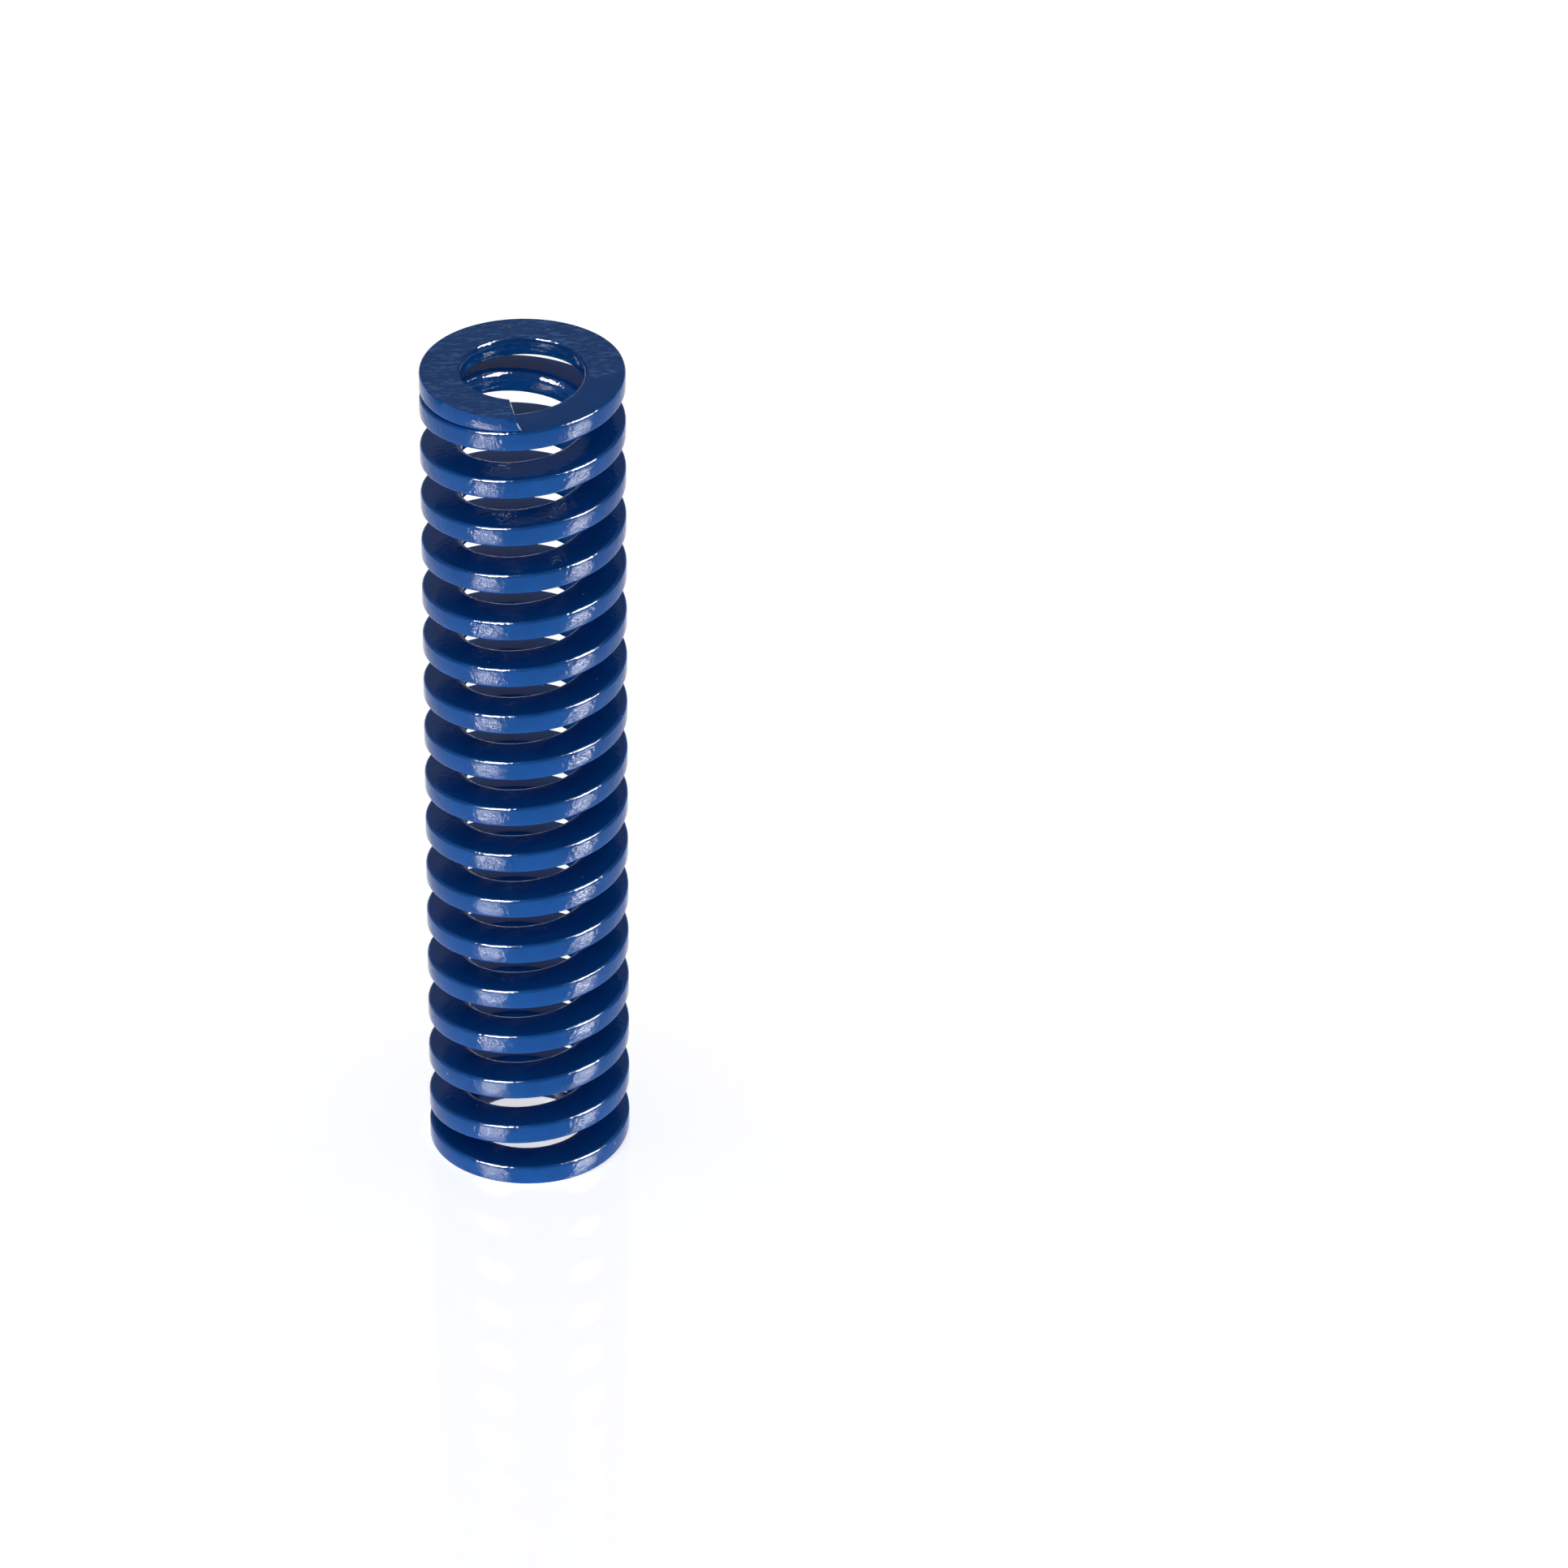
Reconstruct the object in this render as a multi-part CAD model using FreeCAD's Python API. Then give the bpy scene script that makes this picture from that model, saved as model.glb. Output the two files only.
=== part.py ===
import FreeCAD, Part
import math
import os

# Driving sizes in millimetres, with lengths along the coil counted in turns
SIZES = [
    ("outside_diameter", 8.0),
    ("inside_diameter", 4.8),
    ("free_length", 35.0),
    ("wire_height_outside", 0.85),
    ("wire_height_inside", 0.90),
    ("inner_corner", 0.30),
    ("total_turns", 17.65),
    ("touching_turns", 0.12),
    ("opening_turns", 0.60),
    ("closed_clearance", 0.03),
    ("tip_thickness", 0.44),
    ("tip_angle", -90.0),
]

doc = FreeCAD.newDocument("die_spring")
sheet = doc.addObject("Spreadsheet::Sheet", "sizes")
for row, (name, value) in enumerate(SIZES, start=1):
    sheet.set("A%d" % row, name)
    sheet.set("B%d" % row, str(value))
    sheet.setAlias("B%d" % row, name)
doc.recompute()


def size(name):
    return float(sheet.get(name))


outer_radius = size("outside_diameter") / 2
inner_radius = size("inside_diameter") / 2
free_length = size("free_length")
turns = size("total_turns")
height_outside = size("wire_height_outside")
height_inside = size("wire_height_inside")
closed_spacing = height_inside + size("closed_clearance")
axis = FreeCAD.Vector(0, 0, 1)
origin = FreeCAD.Vector(0, 0, 0)


# The two ends are alike, so the open pitch follows from half the drop between the tips
half_drop = (free_length + height_outside) / 2 - size("tip_thickness")
pitch = (half_drop - closed_spacing) / (turns / 2 - 1)


# How far the wire has come down after e turns from its nearer tip
# The coil is even but for the end turn, whose tip is bent onto its neighbour by a smooth step
def drop_from_tip(e):
    q = min(max((e - size("touching_turns")) / size("opening_turns"), 0.0), 1.0)
    return pitch * e - (pitch - closed_spacing) * q * q * (3 - 2 * q)


# Height of the middle of the wire after u turns down from the upper tip
def height(u):
    top = free_length + height_outside / 2 - size("tip_thickness")
    if u <= turns / 2:
        return top - drop_from_tip(u)
    return top - 2 * half_drop + drop_from_tip(turns - u)


def point(u, radius, rise):
    angle = math.radians(size("tip_angle") - 360 * u)
    return FreeCAD.Vector(radius * math.cos(angle), radius * math.sin(angle), height(u) + rise)


# The wire is taller at the inside of the coil, with its section kept in a radial plane
def half_height(radius):
    across = (outer_radius - radius) / (outer_radius - inner_radius)
    return (height_outside + (height_inside - height_outside) * across) / 2


# Its corners, each a radius and a rise from the middle of the wire, run from the top outer one
# over the upper side and down the inside, and back along the lower side
inner_corner = size("inner_corner")
upper_half = [
    (outer_radius, half_height(outer_radius)),
    (inner_radius + inner_corner, half_height(inner_radius + inner_corner)),
    (inner_radius, half_height(inner_radius) - inner_corner),
]
corners = upper_half + [(radius, -rise) for radius, rise in reversed(upper_half)]
face_kinds = ["broad", "bevel", "wall", "bevel", "broad", "wall"]

# The coil is laid out in equal pieces of at most a quarter turn
pieces = math.ceil(turns / 0.25)
cuts = [turns * i / pieces for i in range(pieces + 1)]
end_pieces = math.ceil(pieces / turns)


# One corner of the wire along one piece, a smooth curve through five points and two tangents
def strand(corner, start, stop):
    radius, rise = corner
    share = [0.0, 0.25, 0.5, 0.75, 1.0]
    points = [point(start + (stop - start) * s, radius, rise) for s in share]
    small = (stop - start) / 1000
    first = (point(start + small, radius, rise) - points[0]) * 1000
    last = (points[-1] - point(stop - small, radius, rise)) * 1000
    curve = Part.BezierCurve()
    wanted = [[points[0], first]] + [[p] for p in points[1:-1]] + [[points[-1], last]]
    curve.interpolate(wanted, share)
    return curve.toShape()


strands = [[strand(c, a, b) for a, b in zip(cuts, cuts[1:])] for c in corners]


# The poles of the smooth curve that runs through the given points
def poles_through(points, share):
    curve = Part.BezierCurve()
    curve.interpolate([[p] for p in points], share)
    return curve.getPoles()


def shares(order):
    return [(1 - math.cos(math.pi * i / order)) / 2 for i in range(order + 1)]


# A broad side is one smooth patch over a flat oblong field that the whole side fits in
# The field lies square to the middle of the piece, and the patch rises over it with the coil
def broad_patch(side, piece):
    near, far = sorted([corners[side], corners[(side + 1) % len(corners)]])
    slope = (far[1] - near[1]) / (far[0] - near[0])
    middle = (cuts[piece] + cuts[piece + 1]) / 2
    spread = math.pi * (cuts[piece + 1] - cuts[piece])
    margin = 0.02 * far[0]
    low = near[0] * math.cos(spread) - margin
    deep = far[0] + margin - low
    wide = 2 * (far[0] * math.sin(spread) + margin)
    rows = []
    for down in shares(3):
        row = []
        for along in shares(7):
            x = low + deep * down
            y = wide * (along - 0.5)
            u = middle - math.degrees(math.atan2(y, x)) / 360
            rise = near[1] + slope * (math.hypot(x, y) - near[0])
            row.append(point(u, math.hypot(x, y), rise))
        rows.append(poles_through(row, shares(7)))
    columns = [poles_through(list(column), shares(3)) for column in zip(*rows)]
    patch = Part.BezierSurface()
    patch.increase(3, 7)
    for j, column in enumerate(columns, start=1):
        for i, pole in enumerate(column, start=1):
            patch.setPole(i, j, pole)
    return patch


def wall(side):
    made = Part.Cylinder()
    made.Radius = corners[side][0]
    return made


# One face of one piece, between two strands and the two section planes
def face(side, piece):
    one = strands[side][piece]
    two = strands[(side + 1) % len(corners)][piece]
    if face_kinds[side] == "bevel":
        return Part.makeRuledSurface(one, two)
    surface = wall(side) if face_kinds[side] == "wall" else broad_patch(side, piece)
    start = Part.makeLine(one.Vertexes[0].Point, two.Vertexes[0].Point)
    stop = Part.makeLine(one.Vertexes[-1].Point, two.Vertexes[-1].Point)
    made = Part.Face(surface, Part.Wire([one, stop, two, start]))
    made.validate()
    return made


def cap(cut):
    outline = [point(cut, radius, rise) for radius, rise in corners]
    return Part.Face(Part.makePolygon(outline + outline[:1]))


def faces_between(first, last):
    return [face(s, p) for p in range(first, last) for s in range(len(corners))]


def closed_solid(faces):
    skin = Part.makeCompound(faces)
    skin.sewShape(0.002)
    body = Part.Solid(skin.Shells[0])
    if body.Volume < 0:
        body.reverse()
    return body


# An end is closed off, ground flat between the two end planes, and opened again where it joins
def ground_end(first, last, joint):
    body = closed_solid(faces_between(first, last) + [cap(cuts[first]), cap(cuts[last])])
    reach = 4 * outer_radius
    corner = FreeCAD.Vector(-reach / 2, -reach / 2, 0)
    ground = body.common(Part.makeBox(reach, reach, free_length, corner))
    middle = cap(joint).CenterOfMass
    return [f for f in ground.Faces if f.CenterOfMass.distanceToPoint(middle) > 0.01]


faces = ground_end(0, end_pieces, cuts[end_pieces])
faces += faces_between(end_pieces, pieces - end_pieces)
faces += ground_end(pieces - end_pieces, pieces, cuts[pieces - end_pieces])

spring = doc.addObject("Part::Feature", "die_spring")
spring.Label = "die_spring"
spring.Shape = closed_solid(faces)
spring.Placement = FreeCAD.Placement(origin, FreeCAD.Rotation(axis, 0))
doc.recompute()

for item in doc.Objects:
    if "Invalid" in item.State or "Error" in item.State:
        raise RuntimeError("%s did not compute" % item.Label)
if spring.Shape.isNull() or not spring.Shape.isValid() or len(spring.Shape.Solids) != 1:
    raise RuntimeError("the spring is not one valid solid")

os.makedirs("parts", exist_ok=True)
spring.Shape.exportStep("parts/die_spring.step")
print("pitch of the open coils %.3f mm" % pitch)
print("volume %.2f mm3, faces %d" % (spring.Shape.Volume, len(spring.Shape.Faces)))
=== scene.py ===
# %% [markdown]
# # A die spring
#
# A die spring is the heavy kind of coil spring that pushes the plates of a press tool apart.
# It is wound from flat wire, not round wire, because a flat wire fills the space between
# the rod inside and the pocket outside better, and so carries more load.
#
# This one fits a pocket 8 mm across, takes a 4 mm rod, and is 35 mm long when nothing pushes
# on it. It is made in five stages:
#
# 1. a section of the wire
# 2. winding it into an even coil
# 3. closing the two ends
# 4. grinding the ends flat and breaking the sharp edges
# 5. paint, light and camera

import math

import bmesh
import bpy
from mathutils import Matrix, Vector


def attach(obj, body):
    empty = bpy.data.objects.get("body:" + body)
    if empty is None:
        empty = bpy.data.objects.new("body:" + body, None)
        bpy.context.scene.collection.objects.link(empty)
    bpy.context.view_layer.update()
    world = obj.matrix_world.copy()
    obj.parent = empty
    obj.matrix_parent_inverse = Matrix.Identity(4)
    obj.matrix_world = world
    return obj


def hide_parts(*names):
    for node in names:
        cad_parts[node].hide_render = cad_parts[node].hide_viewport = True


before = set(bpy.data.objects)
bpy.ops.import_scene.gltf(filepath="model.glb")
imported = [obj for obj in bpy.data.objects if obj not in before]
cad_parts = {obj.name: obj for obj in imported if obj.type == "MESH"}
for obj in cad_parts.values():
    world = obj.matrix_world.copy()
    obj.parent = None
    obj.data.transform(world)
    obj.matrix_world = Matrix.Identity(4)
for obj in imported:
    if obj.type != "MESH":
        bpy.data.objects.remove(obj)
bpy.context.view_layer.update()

# %% [markdown]
# ## Sizes
#
# All sizes are in millimetres while the spring is modelled. Lengths along the wire are counted
# in turns, because that is how a spring maker counts them. The mesh is brought to metres once,
# when it is finished.

# %% Sizes of the spring
OUTER = 4.0            # radius of the outside
INNER = 2.4            # radius of the inside
LENGTH = 35.0          # free length
TALL_OUT = 0.85        # height of the wire at the outside
TALL_IN = 1.04         # height of the wire at the inside, coat included
TURNS = 17.65
TIP = 0.44             # thickness left at the cut tip after grinding
TIP_ANGLE = -90.0      # where the upper tip lies, in degrees

PIECES = 18            # equal pieces that the coil is wound in
STEPS = 94             # steps in one piece, which is a little less than a turn
ROUND_OUT = 0.14       # rounding of the wire's outer edges
ROUND_IN = 0.38        # rounding of its inner edges

print("wire %.2f mm wide, %.2f to %.2f mm high" % (OUTER - INNER, TALL_OUT, TALL_IN))

# %% [markdown]
# ## The law of the coil
#
# A real spring isn't even from end to end. It is wound evenly, and then the last turn at each end
# is *closed*: its tip is bent onto its neighbour, so that the ground end has something
# under it. `drop` says how far the wire has come down after `e` turns from the nearer tip. It is
# a straight line, less a smooth step over the end turn.

# %% How far the wire has come down
CLOSED = 0.93              # spacing of the tip and its neighbour
TOUCHING = 0.08            # turns that lie fully against the neighbour
OPENING = 0.72             # turns over which the end turn parts from it
HALF = (LENGTH + TALL_OUT) / 2 - TIP
PITCH = (HALF - CLOSED) / (TURNS / 2 - 1)


# Goes from 0 to 1 as q does, but sets off and arrives softly
def smooth_step(q):
    q = min(max(q, 0.0), 1.0)
    return q * q * (3 - 2 * q)


def drop(e):
    return PITCH * e - (PITCH - CLOSED) * smooth_step((e - TOUCHING) / OPENING)


def height(u):
    top = LENGTH + TALL_OUT / 2 - TIP
    return top - drop(u) if u <= TURNS / 2 else top - 2 * HALF + drop(TURNS - u)


print("the open coils have a pitch of %.3f mm" % PITCH)

# %% [markdown]
# ## The section of the wire
#
# Four corners and a face, then each corner is rounded. The wire was drawn flat before it was
# coiled. Coiling squeezes the inner side, which makes it a little taller and rounder there.
# The points could be typed in, but a bevel keeps each rounding a single number to change.

# %% One section of the wire
CLOSE = 0.01           # a point this near a radius counts as lying on it

mesh = bmesh.new()
corners = [
    (OUTER, -TALL_OUT / 2),
    (OUTER, TALL_OUT / 2),
    (INNER, TALL_IN / 2),
    (INNER, -TALL_IN / 2),
]
mesh.faces.new([mesh.verts.new((r, 0.0, z)) for r, z in corners])


def round_corners(radius, offset, segments):
    here = [v for v in mesh.verts if abs(v.co.x - radius) < CLOSE]
    bmesh.ops.bevel(mesh, geom=here, offset=offset, segments=segments, profile=0.5,
                    affect="VERTICES", material=-1)


round_corners(OUTER, ROUND_OUT, 5)
round_corners(INNER, ROUND_IN, 8)
bmesh.ops.delete(mesh, geom=list(mesh.faces), context="FACES_ONLY")
bmesh.ops.rotate(mesh, cent=(0, 0, 0), verts=list(mesh.verts),
                 matrix=Matrix.Rotation(math.radians(TIP_ANGLE), 3, "Z"))
print("points round the section:", len(mesh.verts))

# %% [markdown]
# ## Winding
#
# The section is spun round the axis and let down a little at each step, like wire running onto
# a mandrel. One piece is wound this way. Turned copies of it are laid end to end and welded
# into the whole coil. The pitch is even for now. A Screw modifier could wind it too, but the
# ends still have to be bent, and for that the points are needed.

# %% Winding an even coil
EVEN = 2.1             # pitch of the even coil
START = 100.0          # height that the winding starts from

share = TURNS / PIECES
for v in mesh.verts:
    v.co.z += START
bmesh.ops.spin(mesh, geom=list(mesh.verts) + list(mesh.edges), cent=(0, 0, 0), axis=(0, 0, -1),
               dvec=(0, 0, -EVEN * share / STEPS), angle=math.radians(360 * share), steps=STEPS)
first = list(mesh.verts) + list(mesh.edges) + list(mesh.faces)
for i in range(1, PIECES):
    made = bmesh.ops.duplicate(mesh, geom=first)["geom"]
    moved = [g for g in made if isinstance(g, bmesh.types.BMVert)]
    bmesh.ops.rotate(mesh, cent=(0, 0, 0), verts=moved,
                     matrix=Matrix.Rotation(math.radians(-360 * share * i), 3, "Z"))
    bmesh.ops.translate(mesh, vec=(0, 0, -EVEN * share * i), verts=moved)
bmesh.ops.remove_doubles(mesh, verts=list(mesh.verts), dist=0.001)
print("wound:", len(mesh.verts), "points")

# %% [markdown]
# ## Closing the ends
#
# Each point knows how many turns it is from the upper tip: the part of a turn comes from its
# angle, the whole turns from its height on the even coil. It is then moved up or down to where
# the law of the coil puts it.
#
# The wire was sheared off a little askew. The inner corner of each tip stands behind its outer
# one, and the cut leans, so its ground edge stands behind the edge that lies on the neighbour.
# The coat has run into the crack between the two, which the outer edge of the tip follows by
# swelling towards it. A lattice could press the end down too, but moving the points by the law
# puts each one exactly where it belongs.

# %% Closing both ends
SKEW = 0.022           # turns that the inner corner of a tip stands back
LEAN = 0.024           # turns that the cut leans back for each mm of height
SKEW_OVER = 0.06       # turns from the tip over which both fade out
SWELL = 0.07           # how far the outer edge of a tip reaches over the crack
SWELL_OVER = 0.25      # turns from the tip over which the swelling fades out


# Part of a turn that a point lies past the upper tip
def past_tip(point):
    return (TIP_ANGLE - math.degrees(math.atan2(point.y, point.x))) / 360.0 % 1.0


for v in mesh.verts:
    part = past_tip(v.co)
    whole = round((START - v.co.z) / EVEN - part)
    u = min(max(part + whole, 0.0), TURNS)
    from_tip = min(u, TURNS - u)
    way = 1 if u < TURNS / 2 else -1
    inward = (OUTER - math.hypot(v.co.x, v.co.y)) / (OUTER - INNER)
    rise = v.co.z - (START - EVEN * u)
    over = max(rise * way + TALL_OUT / 2, 0.0)
    back = way * (SKEW * inward + LEAN * over) * max(0.0, 1 - from_tip / SKEW_OVER)
    v.co.rotate(Matrix.Rotation(math.radians(-360 * back), 3, "Z"))
    if rise * way < 0:
        rise -= way * SWELL * (1 - inward) * (1 - smooth_step(from_tip / SWELL_OVER))
    v.co.z = height(u + back) + rise

tips = [e for e in mesh.edges if e.is_boundary]
bmesh.ops.holes_fill(mesh, edges=tips, sides=0)
bmesh.ops.recalc_face_normals(mesh, faces=list(mesh.faces))
levels = [v.co.z for v in mesh.verts]
print("coil stands from %.2f to %.2f mm" % (min(levels), max(levels)))

# %% [markdown]
# ## Grinding
#
# The spring is ground between two wheels, so whatever stands past the two end planes is cut away
# and the cuts are flat. A Boolean with a box would cut them too, but a plane needs no second
# mesh. The ground faces and the cut tips have sharp edges, which are broken by tumbling and
# softened again by the paint.

# %% Grinding and breaking the edges
WORN = 0.10            # how deep the rim of the upper ground face has worn at its cut
WORN_OVER = 0.22       # turns from the cut over which the wear fades out
RIM = 0.2              # width of the rim that wears
SHARP = 35             # edges that turn by more degrees than this are broken
BROKEN = 0.06          # how far back they are broken


def grind(z, way):
    cut = bmesh.ops.bisect_plane(mesh, geom=list(mesh.verts) + list(mesh.edges) + list(mesh.faces),
                                 plane_co=(0, 0, z), plane_no=(0, 0, way), clear_outer=True,
                                 dist=1e-5)
    rim = [e for e in cut["geom_cut"] if isinstance(e, bmesh.types.BMEdge)]
    return bmesh.ops.contextual_create(mesh, geom=rim)["faces"]


ground = grind(LENGTH, 1) + grind(0.0, -1)
bmesh.ops.recalc_face_normals(mesh, faces=list(mesh.faces))

# Near its cut the ground wedge is thin, and its outer edge has worn unevenly
for f in ground:
    for v in f.verts:
        turned = past_tip(v.co)
        on_rim = v.co.z > LENGTH / 2 and v.co.xy.length > OUTER - RIM
        if on_rim and turned < WORN_OVER:
            worn = WORN + 0.03 * math.sin(150 * turned) + 0.02 * math.sin(331 * turned + 1)
            v.co.xy *= 1 - worn * (1 - turned / WORN_OVER) / OUTER

sharp = [e for e in mesh.edges
         if len(e.link_faces) == 2 and e.calc_face_angle() > math.radians(SHARP)]
bmesh.ops.bevel(mesh, geom=sharp, offset=BROKEN, segments=3, profile=0.5, affect="EDGES",
                clamp_overlap=True, material=-1)
print("ground faces:", len(ground), "edges broken:", len(sharp))

# %% [markdown]
# ## To metres
#
# The finished mesh is scaled once, and becomes an object that stands for the solid model's
# coil. The object could be scaled instead, but then its mesh would no longer hold its size.

# %% The finished coil
MM = 0.001             # a millimetre in metres

bmesh.ops.scale(mesh, vec=(MM, MM, MM), verts=list(mesh.verts))
for f in mesh.faces:
    f.smooth = True
data = bpy.data.meshes.new("coil")
mesh.to_mesh(data)
mesh.free()
coil = bpy.data.objects.new("coil", data)
bpy.context.scene.collection.objects.link(coil)
weighted = coil.modifiers.new("even shading", "WEIGHTED_NORMAL")
weighted.weight = 100
weighted.keep_sharp = True
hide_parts("die_spring")
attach(coil, "root")
print("coil:", len(data.vertices), "points,", len(data.polygons), "faces")

# %% [markdown]
# ## Paint
#
# The blue says how strong the spring is: makers paint each load class its own colour. It is a
# glossy coat sprayed on a small part, so it dries with a fine orange peel. The flat ground faces
# keep some of the grinding under the coat, and show more of it. A painted picture would have
# to be wrapped round the coil. Noise that is worked out in space needs no wrapping.

# %% The coat
blue = bpy.data.materials.new("blue paint")
blue.use_nodes = True
nodes = blue.node_tree.nodes
links = blue.node_tree.links
shader = nodes["Principled BSDF"]
shader.inputs["IOR"].default_value = 1.26
place = nodes.new("ShaderNodeTexCoord")
print("paint:", blue.name)

# %% [markdown]
# The colour changes slowly where the coat is thinner or thicker, and the gloss wanders with
# it. Each could have a noise of its own, but one that feeds both makes them change together.

# %% Colour and gloss
cloud = nodes.new("ShaderNodeTexNoise")
cloud.inputs["Scale"].default_value = 900
cloud.inputs["Detail"].default_value = 3
links.new(place.outputs["Object"], cloud.inputs["Vector"])
tint = nodes.new("ShaderNodeValToRGB")
tint.color_ramp.elements[0].position = 0.3
tint.color_ramp.elements[0].color = (0.0008, 0.056, 0.240, 1)
tint.color_ramp.elements[1].position = 0.7
tint.color_ramp.elements[1].color = (0.0016, 0.067, 0.280, 1)
links.new(cloud.outputs["Fac"], tint.inputs["Fac"])
gloss = nodes.new("ShaderNodeMapRange")
gloss.inputs["To Min"].default_value = 0.05
gloss.inputs["To Max"].default_value = 0.13
links.new(cloud.outputs["Fac"], gloss.inputs["Value"])
links.new(gloss.outputs["Result"], shader.inputs["Roughness"])
print("roughness %.2f to %.2f" % (gloss.inputs["To Min"].default_value,
                                  gloss.inputs["To Max"].default_value))

# %% [markdown]
# Orange peel is a fine soft ripple, stronger on the two ground faces. They could have a
# paint of their own, but a point on them is also told by how far it is from the middle of
# the spring, and then the coat stays one.

# %% Orange peel
END = LENGTH / 2 * MM  # from the middle of the spring to a ground face, in metres
RIPPLE = 0.5           # strength of the orange peel
GROUND_RIPPLE = 1.0    # its strength on the ground faces

axes = nodes.new("ShaderNodeSeparateXYZ")
links.new(place.outputs["Object"], axes.inputs["Vector"])
past_middle = nodes.new("ShaderNodeMath")
past_middle.operation = "SUBTRACT"
past_middle.inputs[1].default_value = END
links.new(axes.outputs["Z"], past_middle.inputs[0])
from_middle = nodes.new("ShaderNodeMath")
from_middle.operation = "ABSOLUTE"
links.new(past_middle.outputs[0], from_middle.inputs[0])


# Gives one value on the two ground faces and another elsewhere
def by_face(elsewhere, on_ground):
    made = nodes.new("ShaderNodeMapRange")
    made.inputs["From Min"].default_value = END - 0.01 * MM
    made.inputs["From Max"].default_value = END - 0.001 * MM
    made.inputs["To Min"].default_value = elsewhere
    made.inputs["To Max"].default_value = on_ground
    links.new(from_middle.outputs[0], made.inputs["Value"])
    return made.outputs["Result"]


ripple = by_face(RIPPLE, GROUND_RIPPLE)
peel = nodes.new("ShaderNodeTexNoise")
peel.inputs["Scale"].default_value = 5200
peel.inputs["Detail"].default_value = 1.5
links.new(place.outputs["Object"], peel.inputs["Vector"])
print("orange peel %.1f, on the ground faces %.1f" % (RIPPLE, GROUND_RIPPLE))

# %% [markdown]
# The ground faces get lighter flecks painted in as painted glints of the gloss over the grinding,
# drawn out along the way they were ground. Noise that is stretched in one direction gives them.

# %% Painted glints on the ground faces
along = nodes.new("ShaderNodeMapping")
along.inputs["Scale"].default_value = (0.35, 1.0, 1.0)
along.inputs["Rotation"].default_value = (0, 0, math.radians(12))
links.new(place.outputs["Object"], along.inputs["Vector"])
# painted glints: where this stretched noise is high, the ground faces are lightened as if they
# caught the lamps
glint_noise = nodes.new("ShaderNodeTexNoise")
glint_noise.inputs["Scale"].default_value = 7500
glint_noise.inputs["Detail"].default_value = 2
links.new(along.outputs["Vector"], glint_noise.inputs["Vector"])
painted_glint = nodes.new("ShaderNodeMapRange")
painted_glint.inputs["From Min"].default_value = 0.50
painted_glint.inputs["From Max"].default_value = 0.72
links.new(glint_noise.outputs["Fac"], painted_glint.inputs["Value"])
only_ground = by_face(0.0, 1.0)
ground_painted_glint = nodes.new("ShaderNodeMath")
ground_painted_glint.operation = "MULTIPLY"
links.new(painted_glint.outputs["Result"], ground_painted_glint.inputs[0])
links.new(only_ground, ground_painted_glint.inputs[1])
print("scale of the flecks: %.0f" % glint_noise.inputs["Scale"].default_value)

# %% [markdown]
# A few grains of dust are caught in the coat, and the upright outer edge of the upper cut
# is lightened to a pale grey. That is done inside a small stretched ball that is laid round it.

# %% Dust and the lightened edge of the upper cut
grains = nodes.new("ShaderNodeTexVoronoi")
grains.inputs["Scale"].default_value = 900
links.new(place.outputs["Object"], grains.inputs["Vector"])
grain = nodes.new("ShaderNodeMapRange")
grain.inputs["From Min"].default_value = 0.05
grain.inputs["From Max"].default_value = 0.03
grain.inputs["To Max"].default_value = 0.25
links.new(grains.outputs["Distance"], grain.inputs["Value"])
edge = nodes.new("ShaderNodeMapping")
edge.vector_type = "TEXTURE"
edge.inputs["Location"].default_value = (-0.000135, -0.004, 0.03476)
edge.inputs["Rotation"].default_value = (0, math.radians(-31), 0)
edge.inputs["Scale"].default_value = (0.00008, 0.00012, 0.00028)
links.new(place.outputs["Object"], edge.inputs["Vector"])
reach = nodes.new("ShaderNodeVectorMath")
reach.operation = "LENGTH"
links.new(edge.outputs["Vector"], reach.inputs[0])
pale_cut_edge = nodes.new("ShaderNodeMapRange")
pale_cut_edge.inputs["From Min"].default_value = 1.0
pale_cut_edge.inputs["From Max"].default_value = 0.6
links.new(reach.outputs["Value"], pale_cut_edge.inputs["Value"])
pale = nodes.new("ShaderNodeMath")
pale.operation = "MAXIMUM"
links.new(pale_cut_edge.outputs["Result"], pale.inputs[0])
links.new(grain.outputs["Result"], pale.inputs[1])
print("upper cut edge is lightened round", list(edge.inputs["Location"].default_value))

# %% [markdown]
# The painted glints go over the blue, the dust and the lightened edge of the upper cut go over
# them, and the ripple bends the light on all of it.

# %% The coat put together
with_painted_glints = nodes.new("ShaderNodeMix")
with_painted_glints.data_type = "RGBA"
links.new(ground_painted_glint.outputs[0], with_painted_glints.inputs["Factor"])
links.new(tint.outputs["Color"], with_painted_glints.inputs["A"])
# the pale blue of the painted glints on the ground faces
with_painted_glints.inputs["B"].default_value = (0.050, 0.165, 0.450, 1)
colour = nodes.new("ShaderNodeMix")
colour.data_type = "RGBA"
links.new(pale.outputs[0], colour.inputs["Factor"])
links.new(with_painted_glints.outputs["Result"], colour.inputs["A"])
# pale grey for the dust and for the lightened edge of the upper cut
colour.inputs["B"].default_value = (0.62, 0.67, 0.74, 1)
links.new(colour.outputs["Result"], shader.inputs["Base Color"])
bump = nodes.new("ShaderNodeBump")
bump.inputs["Distance"].default_value = 0.00004
links.new(ripple, bump.inputs["Strength"])
links.new(peel.outputs["Fac"], bump.inputs["Height"])
links.new(bump.outputs["Normal"], shader.inputs["Normal"])
coil.data.materials.append(blue)
print("the paint has", len(nodes), "nodes")

# %% [markdown]
# ## Floor
#
# The spring stands on a glossy white sheet. It is lifted to white for the camera, in
# reflections and through glass, and nowhere else. More lamps would whiten it too, but they
# would wash out the blue and the shadow.

# %% The white sheet
SHEET = 4.0            # side of the sheet, in metres
LIFT = 0.66            # glow that brings it to white in the picture

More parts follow.
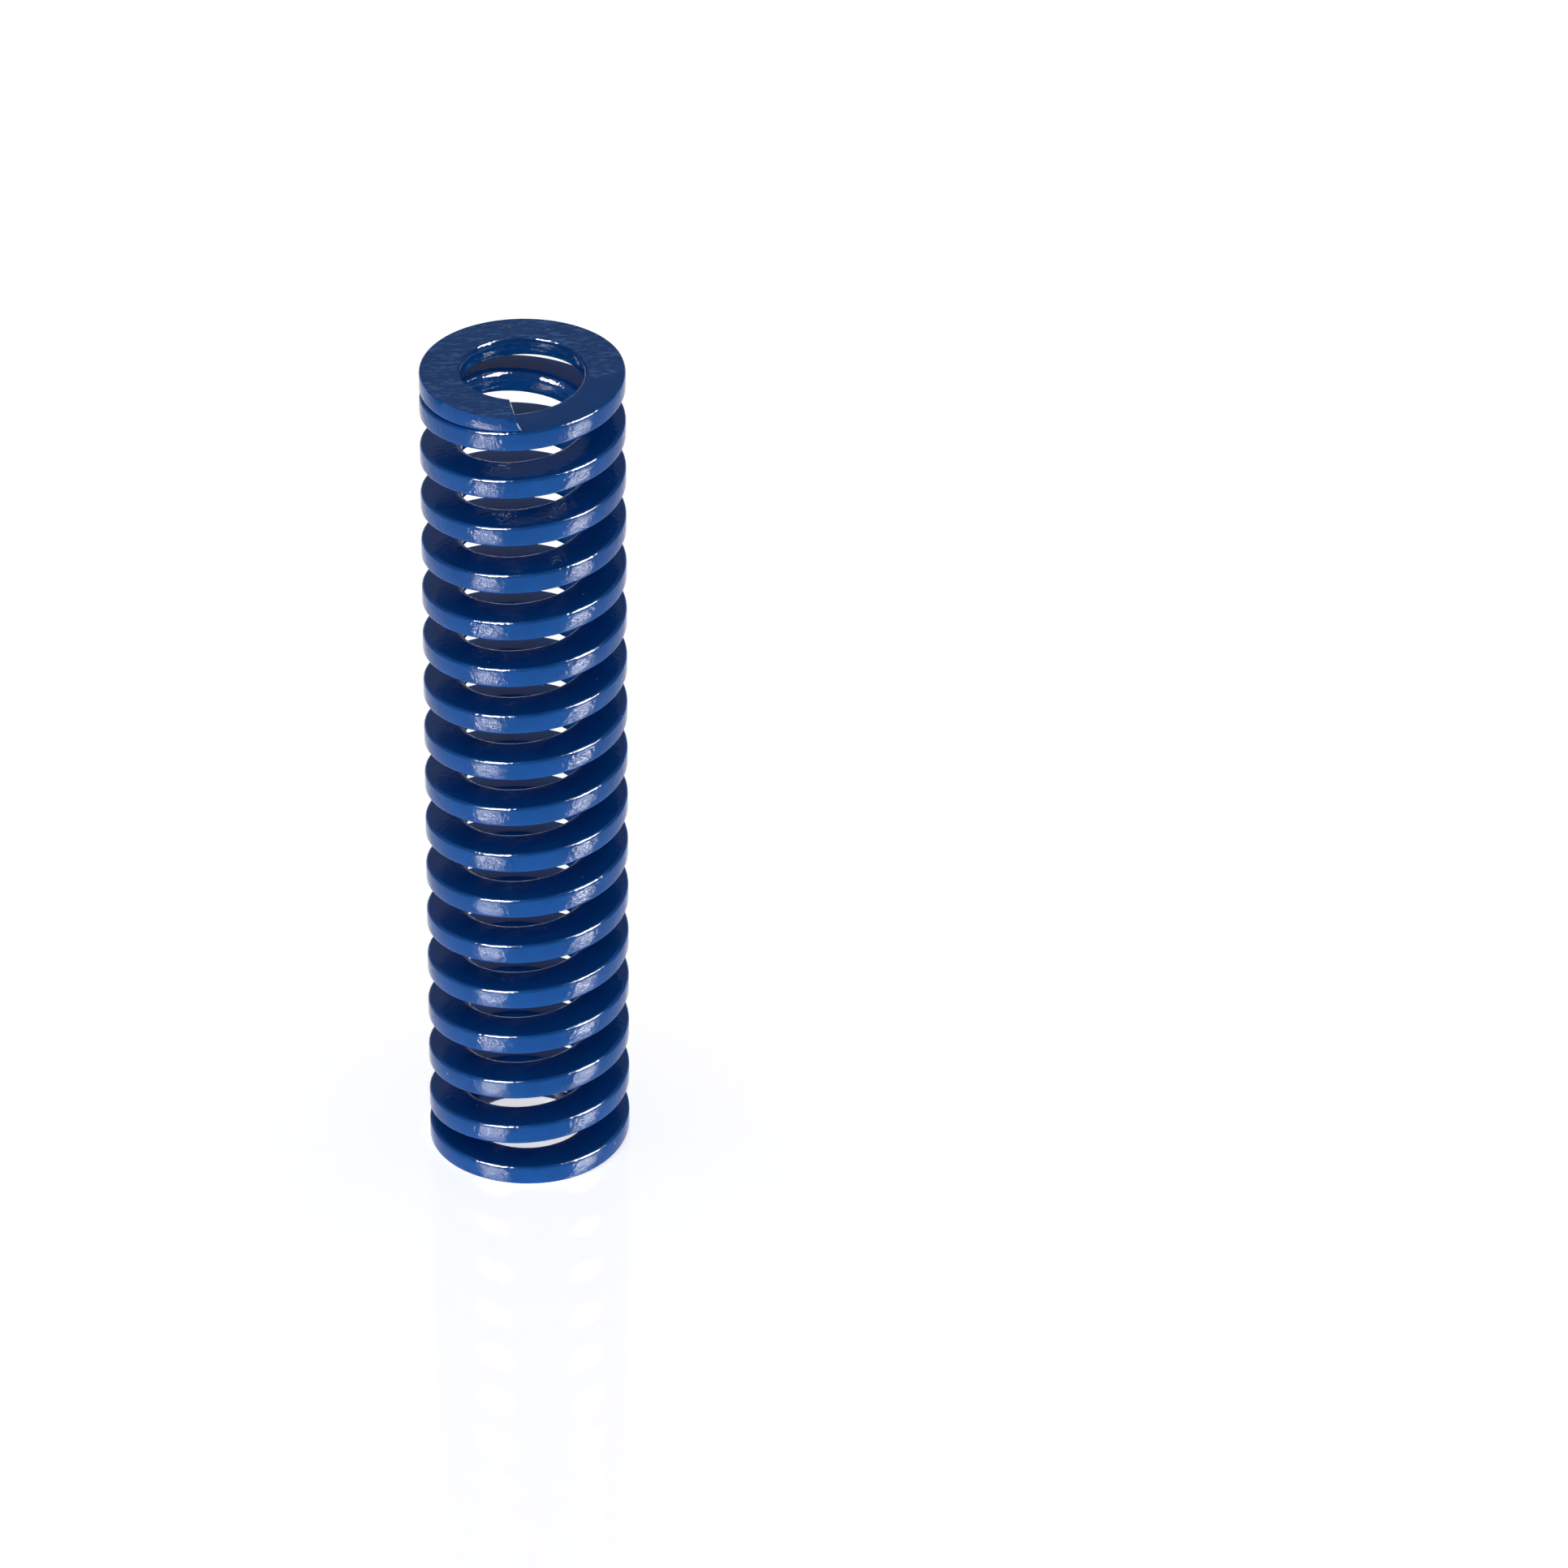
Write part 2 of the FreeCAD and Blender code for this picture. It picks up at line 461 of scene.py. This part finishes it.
bpy.ops.mesh.primitive_plane_add(size=SHEET, location=(0, 0, 0))
floor = bpy.context.object
floor.name = "floor"
white = bpy.data.materials.new("white sheet")
white.use_nodes = True
nodes = white.node_tree.nodes
links = white.node_tree.links
sheet = nodes["Principled BSDF"]
sheet.inputs["Base Color"].default_value = (0.8, 0.8, 0.8, 1)
sheet.inputs["Roughness"].default_value = 0.07
sheet.inputs["IOR"].default_value = 1.6
path = nodes.new("ShaderNodeLightPath")
seen = nodes.new("ShaderNodeMath")
seen.operation = "MAXIMUM"
links.new(path.outputs["Is Camera Ray"], seen.inputs[0])
links.new(path.outputs["Is Glossy Ray"], seen.inputs[1])
through = nodes.new("ShaderNodeMath")
through.operation = "MAXIMUM"
links.new(seen.outputs[0], through.inputs[0])
links.new(path.outputs["Is Transmission Ray"], through.inputs[1])
lift = nodes.new("ShaderNodeMath")
lift.operation = "MULTIPLY"
lift.inputs[1].default_value = LIFT
links.new(through.outputs[0], lift.inputs[0])
sheet.inputs["Emission Color"].default_value = (1, 1, 1, 1)
links.new(lift.outputs[0], sheet.inputs["Emission Strength"])
floor.data.materials.append(white)
print("floor:", floor.name)

# %% [markdown]
# ## Backdrop
#
# The even light of the studio comes from above, so the world is brighter overhead.

# %% The studio round it
world = bpy.data.worlds.new("studio")
bpy.context.scene.world = world
world.use_nodes = True
nodes = world.node_tree.nodes
links = world.node_tree.links
sky = nodes.new("ShaderNodeTexCoord")
split = nodes.new("ShaderNodeSeparateXYZ")
links.new(sky.outputs["Generated"], split.inputs["Vector"])
ceiling = nodes.new("ShaderNodeMapRange")
ceiling.inputs["To Min"].default_value = 0.15
ceiling.inputs["To Max"].default_value = 0.60
links.new(split.outputs["Z"], ceiling.inputs["Value"])
back = nodes["Background"]
back.inputs["Color"].default_value = (1, 1, 1, 1)
links.new(ceiling.outputs["Result"], back.inputs["Strength"])
print("world:", world.name)

# %% [markdown]
# ## Soft boxes
#
# A soft box at the left and one at the right only show as reflections, and each has a brighter
# strip low down. The paint catches them twice: straight on its rounded corners, and by way of
# the sheet on its flat outside. Angles are in degrees, as seen from the spring.

# %% Soft boxes
def soft_box(name, azimuth, elevation, wide, tall, away, glow):
    a, e = math.radians(azimuth), math.radians(elevation)
    where = Vector((math.sin(a) * math.cos(e), -math.cos(a) * math.cos(e), math.sin(e))) * away
    light = bpy.data.lights.new(name, "AREA")
    light.shape = "RECTANGLE"
    light.size = 2 * away * math.tan(math.radians(wide / 2))
    light.size_y = 2 * away * math.tan(math.radians(tall / 2))
    light.energy = glow * math.pi * light.size * light.size_y
    thing = bpy.data.objects.new(name, light)
    bpy.context.scene.collection.objects.link(thing)
    thing.location = where
    thing.rotation_euler = (Vector((0, 0, END)) - where).to_track_quat("-Z", "Y").to_euler()
    thing.visible_diffuse = False


soft_box("left tall", azimuth=-45, elevation=39, wide=22, tall=38, away=1.3, glow=92.0)
soft_box("right tall", azimuth=64, elevation=39, wide=19, tall=38, away=1.3, glow=92.0)
soft_box("left strip", azimuth=-43, elevation=31, wide=28, tall=12, away=1.2, glow=225.0)
soft_box("right strip", azimuth=67, elevation=31, wide=25, tall=12, away=1.2, glow=190.0)

# %% [markdown]
# ## Camera
#
# The photograph looks down at about 31.5 degrees from 60 diameters away. The spring stands left of
# the middle of the picture, so the camera points past it. The numbers are the picture's pixels.

# %% Where the camera stands
SIDE = 1932.0                      # the photograph is square
PER_DIAMETER = 250.4               # pixels that one outside diameter covers at the spring
FAR = 60.0                         # distance in outside diameters
DOWN = math.radians(31.5)
ROLL = math.radians(0.15)
SPOT = (648.3, 931.9)              # where the middle of the spring shows
SENSOR = 36.0                      # width of the camera's sensor, in millimetres

focal = PER_DIAMETER * FAR
forward = Vector((0, math.cos(DOWN), -math.sin(DOWN)))
right = Vector((1, 0, 0))
up = right.cross(forward)
side = math.cos(ROLL) * right + math.sin(ROLL) * up
rise = -math.sin(ROLL) * right + math.cos(ROLL) * up
ray = (forward * focal + side * (SPOT[0] - SIDE / 2) - rise * (SPOT[1] - SIDE / 2)).normalized()
turn = Matrix.Rotation(math.atan2(ray.x, ray.y), 3, "Z")
forward, side, rise, ray = turn @ forward, turn @ side, turn @ rise, turn @ ray

camera = bpy.data.objects.new("camera", bpy.data.cameras.new("camera"))
bpy.context.scene.collection.objects.link(camera)
camera.data.sensor_width = SENSOR
camera.data.lens = SENSOR * focal / SIDE
camera.data.clip_start = 0.01
camera.data.clip_end = 10.0
middle = Vector((0, 0, END))
camera.matrix_world = Matrix.Translation(middle - ray * FAR * 2 * OUTER * MM) @ Matrix(
    (side, rise, -forward)).transposed().to_4x4()
bpy.context.scene.camera = camera
bpy.context.scene.view_settings.view_transform = "Standard"
print("lens %.0f mm" % camera.data.lens)
